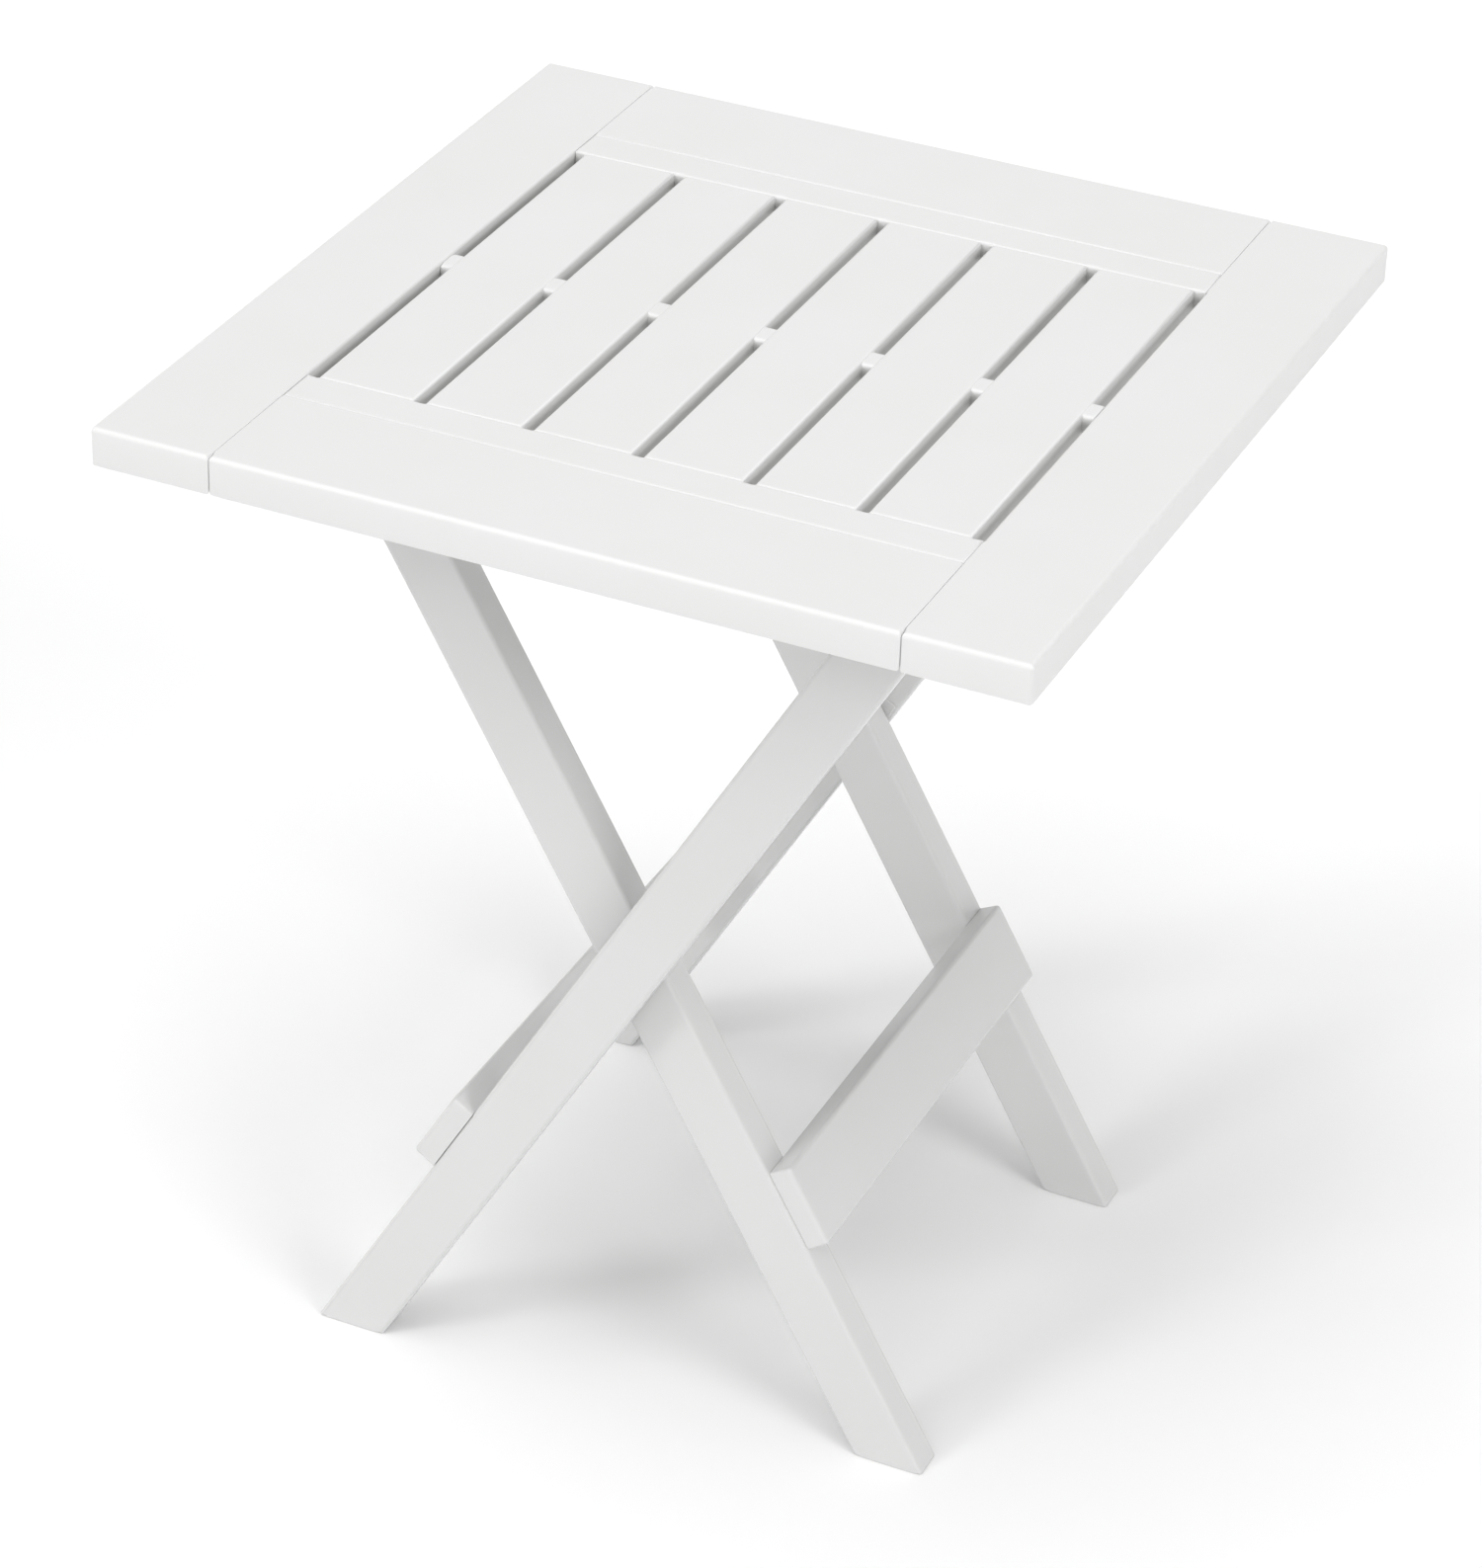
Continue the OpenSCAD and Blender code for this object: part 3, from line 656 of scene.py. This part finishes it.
def slat(x0):
    """One slat: a shell with soft long edges, cross ribs and its share of the moulded line."""
    x1 = x0 + slat_w
    ends = [(s, d, BEAD) for s in (0, 2) for d in (BEAD_RUN, slat_w - BEAD_RUN)]
    outline = rectangle(x0, x1, -SLOT_END, SLOT_END, [SLAT_PLAN] * 4, [SLOT_EDGE] * 4, ends)
    inner = (x0 + WALL, x1 - WALL, -SLOT_END + WALL, SLOT_END - WALL)
    pitch = (inner[3] - RIB_W / 2 + WALL) / 3
    cross = [RIB_W / 2 + i * pitch - WALL for i in (1, 2)]
    solids = [board_shell(outline, inner, np.full(len(outline["soft"]), deck_z))]
    solids += [rib(inner[0] - RIB_BITE, inner[1] + RIB_BITE, *sorted((s * y, s * (y + WALL))))
               for y in cross for s in (-1, 1)]
    return solids


def end_strip():
    """The strip beyond the slat ends, at the rear, soft where the slots run into it.

    At each slot the softness grows from BEAD to LIP, from LIP_FADE before its side to LIP_IN past it.
    """
    lips = ((-LIP_FADE, BEAD), (LIP_IN, LIP), (SLOT - LIP_IN, LIP), (SLOT + LIP_FADE, BEAD))
    soft = [(0, rail_x + x + d, v) for x in slot_x for d, v in lips]
    soft = [s for s in soft if LIP_FADE / 2 < s[1] < 2 * rail_x - LIP_FADE / 2]
    outline = rectangle(-rail_x, rail_x, SLOT_END, panel_y, [BUTT_PLAN] * 4, [BEAD] * 4, soft)
    inner = (-rail_x + WALL, rail_x - WALL, SLOT_END + WALL, panel_y - WALL)
    pitch = (inner[1] - inner[0] + WALL) / SLATS
    far = [inner[0] + i * pitch for i in range(1, SLATS)]
    solids = [board_shell(outline, inner, np.full(len(outline["soft"]), deck_z))]
    solids += [rib(x - WALL, x, inner[2] - RIB_BITE, inner[3] + RIB_BITE) for x in far]
    return solids + [tenon(x, panel_y + TENON_LONG / 2 - TENON_ROOT, False) for x in PANEL_TENONS]


RIB_END_SOFT, RIB_END_RUN = 0.3, 3 * MM
rib_ends = [(s, d, RIB_END_SOFT) for s in (1, 3) for d in (RIB_END_RUN, RIB_W - RIB_END_RUN)]
middle_rib = plate(rectangle(-rail_x, rail_x, -RIB_W / 2, RIB_W / 2, [BUTT_PLAN] * 4, [1] * 4, rib_ends),
                   deck_z, top_z - RIB_DROP, RIB_SOFT)
solids = [s for x in slot_x[:-1] for s in slat(x + SLOT)] + [middle_rib]
solids += [placed(s, v=(0, f, 0)) for f in (-1, 1) for s in end_strip()]
solids += [post(catch_x, f * y) for f in (-1, 1) for y in catch_y]
piece("slat_panel_moulded", solids, "tabletop", "white_resin_top", resin_top, "slat_panel")
print("slat width, mm:", round(slat_w / MM, 2))

# %% [markdown]
# ## Legs
#
# A leg is one outline carried through its thickness: a foot cut level with the floor, and an end
# rounded about the hinge. It is worked out standing straight, across and along the leg, and then
# placed with the leg's own directions, so the same function makes all four. The outer legs carry a
# thin pad on their inner face, round the pivot, that keeps the frames apart. The inner legs have a
# round sink for the head of the pivot pin.

# %% Legs
LEG_ROUND = 2.0 * MM
FOOT_ROUND, FOOT_SOFT, FOOT_RUN = 1 * MM, 0.4, 5 * MM
PAD_HALF, PAD_PLAN, PAD_ROUND, PAD_BITE = 17 * MM, 1 * MM, 0.5 * MM, 0.5 * MM
HEAD_SINK, SINK_CHAMFER, HEAD_ROOM = 4 * MM, 0.4 * MM, 0.2 * MM
PIN_SIDES = 48
sink_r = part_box("pivot_pin_rear")[1].x - pivot[0] + HEAD_ROOM


def leg(side, face_in, face_out, sinks=()):
    """A leg across and along itself: level foot, round top end, all long edges rounded.

    A level cut through a leg that leans has height = side * across * tan(lean) along the leg. The
    sole (side 0 of the outline) is worn less round than the long edges.
    """
    cut = side * leg_half * math.tan(lean)
    corners = [(-leg_half, -cut), (leg_half, cut), (leg_half, leg_length + leg_half),
               (-leg_half, leg_length + leg_half)]
    foot = 2 * leg_half / math.cos(lean)
    outline = rounded_polygon(corners, [FOOT_ROUND, FOOT_ROUND, leg_half, leg_half], [1] * 4,
                              [(0, d, FOOT_SOFT) for d in (FOOT_RUN, foot - FOOT_RUN)])
    return plate(outline, face_in, face_out, LEG_ROUND, sinks)


def outer_leg(rear):
    """Outer leg with its pad, at the rear or mirrored to the front."""
    origin, across, upward, _ = leg_axes(1)
    flat, low, high = leg_half - LEG_ROUND, pivot_along - PAD_HALF, pivot_along + PAD_HALF
    outline = rectangle(-flat, flat, low, high, [PAD_PLAN] * 4, [1] * 4)
    pad = plate(outline, pad_y, outer_y[0] + PAD_BITE, PAD_ROUND)
    return [placed(s, origin, across, upward, (0, rear, 0)) for s in (leg(1, *outer_y), pad)]


def inner_leg(rear):
    """Inner leg with the sink for the pivot head in its inner face."""
    origin, across, upward, _ = leg_axes(-1)
    face = inner_y[0]
    profile = [(sink_r + SINK_CHAMFER, face), (sink_r, face + SINK_CHAMFER), (sink_r, face + HEAD_SINK)]
    sink = circles((0, pivot_along), profile, PIN_SIDES)
    return [placed(leg(-1, *inner_y, [sink]), origin, across, upward, (0, rear, 0))]


for rear, name in ((-1, "front"), (1, "rear")):
    piece(f"outer_leg_{name}_moulded", outer_leg(rear), "outer_frame", "white_resin_legs", resin_outer,
          f"outer_leg_{name}")
    piece(f"inner_leg_{name}_moulded", inner_leg(rear), "inner_frame", "white_resin_legs", resin_inner,
          f"inner_leg_{name}")

# %% [markdown]
# ## Stretchers
#
# One board lies across each pair of legs, on their upper faces, near the feet. Its section is measured
# from the CAD along the leg's own directions and carried from front to rear with its edges rounded. The
# two edges that lie on the legs are nearly sharp, so that no dark groove opens between board and leg.

# %% Stretchers
BUTTED = 0.2


def stretcher(node_name, side):
    """Rounded bar between the CAD part's faces: section across and along the leg, length along Y."""
    origin, across, upward, rearward = leg_axes(side)
    a0, _ = extent(node_name, origin, np.array(across) * side)
    s0, s1 = extent(node_name, origin, upward)
    y0, y1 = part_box(node_name)[0].y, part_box(node_name)[1].y
    soft = [1, BUTTED, BUTTED, 1] if side == 1 else [BUTTED, 1, 1, BUTTED]
    x0, x1 = sorted((side * a0, -side * leg_half))
    section = rectangle(x0, x1, s0, s1, [LEG_ROUND * v for v in soft], soft)
    return [placed(plate(section, y0, y1, LEG_ROUND), origin, across, upward, rearward)]


at_foot, _, up_leg, _ = leg_axes(1)
reach = extent("outer_stretcher", at_foot, up_leg)
print("stretcher along the leg, mm:", [round(s / MM, 1) for s in reach])
piece("outer_stretcher_moulded", stretcher("outer_stretcher", 1), "outer_frame", "white_resin_legs",
      resin_outer, "outer_stretcher")
piece("inner_stretcher_moulded", stretcher("inner_stretcher", -1), "inner_frame", "white_resin_legs",
      resin_inner, "inner_stretcher")

# %% [markdown]
# ## Pins, bar and washers
#
# Everything round is turned: a profile of radius against depth, carried round its axis. The heads are
# slightly domed with a soft rim, as a riveted or cold-headed pin is. A tube or a washer is a profile
# that comes back to its first point, so that the wall closes on itself.

# %% Turned parts
HEAD_RIM, HEAD_FLAT, HEAD_EDGE = 0.35, 0.55, 0.2 * MM


def turned(profile, x, z, rear):
    """Part turned about an axis along Y through (x, z); rear is 1, or -1 for the front copy."""
    caps = [] if profile[0] == profile[-1] else [[(0, 0)], [(0, -1)]]
    return placed(closed([circles((x, z), profile, PIN_SIDES)], caps), u=X, v=Z, w=(0, rear, 0))


def head_profile(radius, seat, crown):
    """Head from its seat to its crown: a flat seat, a short rim and a dome.

    On the dome, reach = radius * (flat + (1 - flat) * cos a) and depth = rim + (crown - rim) * sin a.
    """
    turn = np.linspace(0, math.pi / 2, 7)[:-1]
    rim = seat + HEAD_RIM * (crown - seat)
    dome = [(radius * (HEAD_FLAT + (1 - HEAD_FLAT) * math.cos(a)), rim + (crown - rim) * math.sin(a))
            for a in turn]
    bevel = [(radius - HEAD_EDGE, seat), (radius, seat + math.copysign(HEAD_EDGE, crown - seat))]
    return bevel + dome + [(0.4 * radius, crown)]


PIVOT_SHANK, HINGE_SHANK, SHANK_CHAMFER = 5.0 * MM, 4.0 * MM, 0.4 * MM
PIVOT_HEAD, HINGE_HEAD = 2.4 * MM, 2.5 * MM
BORE_PLAY, WASHER_EDGE, BAR_WALL = 0.05 * MM, 0.15 * MM, 1.2 * MM


def pin(tip, shank, reach, seat, crown):
    """Profile of a headed pin: chamfered tip, straight shank, then the head out to reach."""
    chamfer = math.copysign(SHANK_CHAMFER, seat - tip)
    return [(shank - SHANK_CHAMFER, tip), (shank, tip + chamfer), (shank, seat),
            *head_profile(reach, seat, crown)]


(pivot_in, pivot_out), (pin_in, pin_out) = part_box("pivot_pin_rear"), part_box("hinge_pin_rear")
(washer_in, washer_out), bar_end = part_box("pivot_washer_rear"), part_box("inner_top_bar")[1]
pivot_pin = pin(pivot_out.y, PIVOT_SHANK, pivot_out.x - pivot[0], pivot_in.y + PIVOT_HEAD, pivot_in.y)
hinge_pin = pin(pin_in.y, HINGE_SHANK, pin_out.x - hinge[0], pin_out.y - HINGE_HEAD, pin_out.y)
y0, y1, bore, rim = washer_in.y, washer_out.y, PIVOT_SHANK + BORE_PLAY, washer_out.x
washer = [(bore, y0), (rim - WASHER_EDGE, y0), (rim, y0 + WASHER_EDGE), (rim, y1 - WASHER_EDGE),
          (rim - WASHER_EDGE, y1), (bore, y1), (bore, y0)]

for rear, name in ((-1, "front"), (1, "rear")):
    piece(f"pivot_pin_{name}_turned", [turned(pivot_pin, 0, pivot[2], rear)], "outer_frame",
          "bright_steel", steel, f"pivot_pin_{name}")
    piece(f"hinge_pin_{name}_turned", [turned(hinge_pin, hinge[0], hinge[2], rear)], "tabletop",
          "bright_steel", steel, f"hinge_pin_{name}")
    piece(f"pivot_washer_{name}_moulded", [turned(washer, 0, pivot[2], rear)], "inner_frame",
          "nylon_washers", nylon, f"pivot_washer_{name}")

end, outside = bar_end.y, bar_end.x + hinge[0]
inside = outside - BAR_WALL
tube = [(outside, -end), (outside, end), (inside, end), (inside, -end), (outside, -end)]
piece("inner_top_bar_drawn", [turned(tube, -hinge[0], hinge[2], 1)], "inner_frame", "bright_steel", steel,
      "inner_top_bar")

# %% [markdown]
# ## Screws
#
# The screws are pan heads with a cross recess, seen from below. A head is a height over a disc: the
# dome falls towards the rim, and the recess is cut where a point lies in either arm of the cross.
# There are twenty-two of them, so each one has only a few hundred faces, with its rings closest
# together at the rim, where the dome curves most.

# %% Screws
HEAD_R, HEAD_T, SHANK_R, SHANK_SEEN = 3.4 * MM, 1.6 * MM, 1.5 * MM, 2 * MM
ARM_W, ARM_L, ARM_DEEP = 0.5 * MM, 1.8 * MM, 0.9 * MM
HEAD_RINGS = np.array([1.0, 0.98, 0.92, 0.82, 0.7, 0.6, 0.5, 0.42, 0.34, 0.26, 0.18, 0.1, 0.02])
RIM_SHARE, SCREW_SIDES = 0.4, 32


def smooth_step(low, high, value):
    """0 below low, 1 above high, and 3t^2 - 2t^3 between."""
    t = np.clip((value - low) / (high - low), 0, 1)
    return t * t * (3 - 2 * t)


def screw(x, y, seat):
    """Screw pointing up, its head below the seat: height = seat - dome + recess.

    dome = thickness * (rim share + the rest * sqrt(1 - (r / R)^2)), and the recess is a cross of two
    arms whose walls fall on a smooth step.
    """
    angles = np.linspace(0, 2 * math.pi, SCREW_SIDES, endpoint=False)
    radii = HEAD_R * HEAD_RINGS
    px, py = radii[:, None] * np.cos(angles), radii[:, None] * np.sin(angles)
    dome = HEAD_T * (RIM_SHARE + (1 - RIM_SHARE) * np.sqrt(1 - (radii / HEAD_R) ** 2)[:, None])
    arms = [smooth_step(-1.3 * ARM_W, -0.7 * ARM_W, -np.abs(a)) *
            smooth_step(-1.1 * ARM_L, -0.9 * ARM_L, -np.abs(b)) for a, b in ((px, py), (py, px))]
    height = seat - dome + ARM_DEEP * np.maximum(*arms)
    head = np.stack([x + px, y + py, height], axis=-1)
    profile = [(SHANK_R, seat + SHANK_SEEN), (SHANK_R, seat), (HEAD_R, seat)]
    shank = circles((x, y), profile, SCREW_SIDES)
    return closed([np.concatenate([shank, head])], [[(0, 0)], [(0, -1)]])


def four_ways(points):
    """Each point and its mirror images in X and Y, without repeats."""
    return sorted({(sx * x, sy * y) for x, y in points for sx in (-1, 1) for sy in (-1, 1)})


RAIL_SCREW, PANEL_SCREW = 8 * MM, 8.2 * MM
base_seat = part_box("catch_screws")[0].z + HEAD_T
board_screw_at = four_ways([(seam_x + RAIL_SCREW, y) for y in RAIL_TENONS])
panel_screw_at = four_ways([(x, panel_y + PANEL_SCREW) for x in PANEL_TENONS])
screw_places = {
    "board_screws": [(x, y, tenon_z) for x, y in board_screw_at],
    "panel_screws": [(x, y, tenon_z) for x, y in panel_screw_at],
    "bracket_screws": [(x, f * bracket_y, base_seat) for x in bracket_x for f in (-1, 1)],
    "catch_screws": [(catch_x, f * y, base_seat) for y in catch_y for f in (-1, 1)]}
for name, places in screw_places.items():
    piece(f"{name}_plated", [screw(*p) for p in places], "tabletop", "zinc_screws", zinc, name)

# %% [markdown]
# ## Brackets and catches
#
# These fittings have the right shape already, so a copy of each CAD mesh is finished instead of being
# built again. The copy is welded, its flat faces are made whole, and its sharp edges get a small
# round, as the mould would leave them.

# %% Brackets and catches
FITTING_ROUND, FITTING_WELD = 0.5 * MM, 1e-6
SAME_FACE, SHARP = math.radians(1), math.radians(40)


def softened(node_name, slot, material):
    """A welded copy of a CAD node with its sharp edges rounded."""
    mesh = frame["nodes"][node_name].data.copy()
    shell = bmesh.new()
    shell.from_mesh(mesh)
    bmesh.ops.remove_doubles(shell, verts=shell.verts, dist=FITTING_WELD)
    bmesh.ops.dissolve_limit(shell, angle_limit=SAME_FACE, verts=shell.verts, edges=shell.edges)
    sharp = [e for e in shell.edges if e.is_manifold and e.calc_face_angle() > SHARP]
    bmesh.ops.bevel(shell, geom=sharp, offset=FITTING_ROUND, segments=2, profile=0.5, affect="EDGES",
                    clamp_overlap=True)
    shell.to_mesh(mesh)
    shell.free()
    mesh.shade_smooth()
    mesh.set_sharp_from_angle(angle=SMOOTH_LIMIT)
    return dressed(f"{node_name}_moulded", mesh, "tabletop", slot, material, node_name)


for kind in ("hinge_bracket", "catch"):
    for end in ("front", "rear"):
        softened(f"{kind}_{end}", "white_resin_fittings", resin_fittings)

# %% [markdown]
# ## Floor
#
# The floor is a studio floor in pale matt paint, with a hint of mottling so that it isn't a dead flat
# colour. It reaches so far that its edge can't be told from the horizon.

# %% Floor
FLOOR, MOTTLE = 40.0, 1 / 3


def studio_floor():
    """Pale matt paint with a faint mottle."""
    made = new_material("studio_floor_matt_paint")
    place = node(made, "TexCoord")
    mottle = node(made, "TexNoise", {"Vector": (place, "Object"), "Scale": 1 / MOTTLE, "Detail": 3.0})
    colour = node(made, "Mix", {"Factor": (mottle, "Fac"), "A": linear("#F6F6F6"),
                                "B": linear("#F9F9F9")}, data_type="RGBA")
    skin = node(made, "BsdfPrincipled", {"Base Color": (colour, "Result"), "Roughness": 0.9})
    node(made, "OutputMaterial", {"Surface": (skin, "BSDF")})
    return made


floor_mesh = bpy.data.meshes.new("floor")
around = [(-FLOOR, -FLOOR, 0), (FLOOR, -FLOOR, 0), (FLOOR, FLOOR, 0), (-FLOOR, FLOOR, 0)]
floor_mesh.from_pydata(around, [], [(0, 1, 2, 3)])
floor_mesh.materials.append(studio_floor())
floor = bpy.data.objects.new("floor", floor_mesh)
bpy.context.scene.collection.objects.link(floor)
print("floor:", 2 * FLOOR, "m square")

# %% [markdown]
# ## Light
#
# White on white is only readable through soft shading, so the light is that of a white studio: a large
# soft box overhead for the top, a small one in front at the left that draws the rounded edges, and one
# at the right for the side. They could be area lights, but these fall off with distance and would grey
# the far floor. A sun with a wide angle is a soft box that is far away, and lights everything alike.

# %% Light
LIGHT_AWAY = 3.0


def soft_light(name, turn, height, spread, strength):
    """Even light from one direction: (-sin turn cos height, -cos turn cos height, sin height).

    turn goes from the front towards -X, and height is above the floor. spread is how wide the light
    looks from the table, and sets how soft the shadows are. All three are in degrees.
    """
    light = bpy.data.lights.new(name, "SUN")
    light.angle, light.energy = math.radians(spread), strength
    made = bpy.data.objects.new(name, light)
    turn, height = math.radians(turn), math.radians(height)
    level = math.cos(height)
    towards = Vector((-math.sin(turn) * level, -math.cos(turn) * level, math.sin(height)))
    made.rotation_euler = towards.to_track_quat("Z", "Y").to_euler()
    made.location = LIGHT_AWAY * towards
    bpy.context.scene.collection.objects.link(made)


soft_light("front_box", 36, 32, 14, 0.54)
soft_light("overhead_box", 25, 74, 60, 1.52)
soft_light("side_box", -66, 30, 24, 0.86)

# %% [markdown]
# ## Surround
#
# What isn't a lamp still lights the table: the ceiling and the walls of the studio. The surround grows
# brighter from the horizon to the zenith. A white wall stands round the horizon, so that a low view has
# a white background. Its height is the sine of the angle above the horizon, which is what the Z of a
# direction gives. The tones are shown as they are, without a film curve that would grey the whites.

# %% Surround
HORIZON, ZENITH, WALL_WHITE = 0.07, 0.64, 0.9
WALL_FADE = (0.1, 0.17)
world = bpy.data.worlds.new("white_surround")
world.use_nodes = True
world.node_tree.nodes.clear()
direction = node(world, "TexCoord")
upward = node(world, "SeparateXYZ", {"Vector": (direction, "Generated")})
dome = node(world, "MapRange", {"Value": (upward, "Z"), "To Min": HORIZON, "To Max": ZENITH})
wall = node(world, "MapRange", {"Value": (upward, "Z"), "From Min": WALL_FADE[0],
                                "From Max": WALL_FADE[1], "To Min": WALL_WHITE, "To Max": HORIZON})
brighter = node(world, "Math", {0: (dome, "Result"), 1: (wall, "Result")}, operation="MAXIMUM")
surround = node(world, "Background", {"Color": linear("#FFFFFF"), "Strength": (brighter, "Value")})
node(world, "OutputWorld", {"Surface": (surround, "Background")})
bpy.context.scene.world = world
bpy.context.scene.view_settings.view_transform = "Standard"
print("surround brightness at the horizon and overhead:", WALL_WHITE, ZENITH)

# %% [markdown]
# ## Camera
#
# The camera looks down on the table from the front right. It is placed by how far round it stands, how
# far up, how far away, what it aims at, and a slight roll. Its three directions are worked out from
# those angles and become the columns of its matrix. A long lens keeps the legs from spreading.

# %% Camera
AZIMUTH, ELEVATION, ROLL = (math.radians(a) for a in (23.98, 31.7, 1.84))
DISTANCE = 2.4569
AIM = np.array([-0.0025, -0.0058, 0.2716])
SENSOR_MM, LENS_MM = 36.0, 119.31
back = np.array([math.sin(AZIMUTH) * math.cos(ELEVATION), -math.cos(AZIMUTH) * math.cos(ELEVATION),
                 math.sin(ELEVATION)])
level = np.array([math.cos(AZIMUTH), math.sin(AZIMUTH), 0.0])
upright = np.cross(back, level)
right = level * math.cos(ROLL) + upright * math.sin(ROLL)
up = upright * math.cos(ROLL) - level * math.sin(ROLL)
camera_data = bpy.data.cameras.new("camera")
camera_data.sensor_width, camera_data.lens = SENSOR_MM, LENS_MM
camera = bpy.data.objects.new("camera", camera_data)
turn = np.column_stack([right, up, back])
camera.matrix_world = Matrix.Translation(Vector(AIM + DISTANCE * back)) @ Matrix(turn.tolist()).to_4x4()
bpy.context.scene.collection.objects.link(camera)
bpy.context.scene.camera = camera
print("camera at, m:", [round(v, 3) for v in camera.matrix_world.translation])
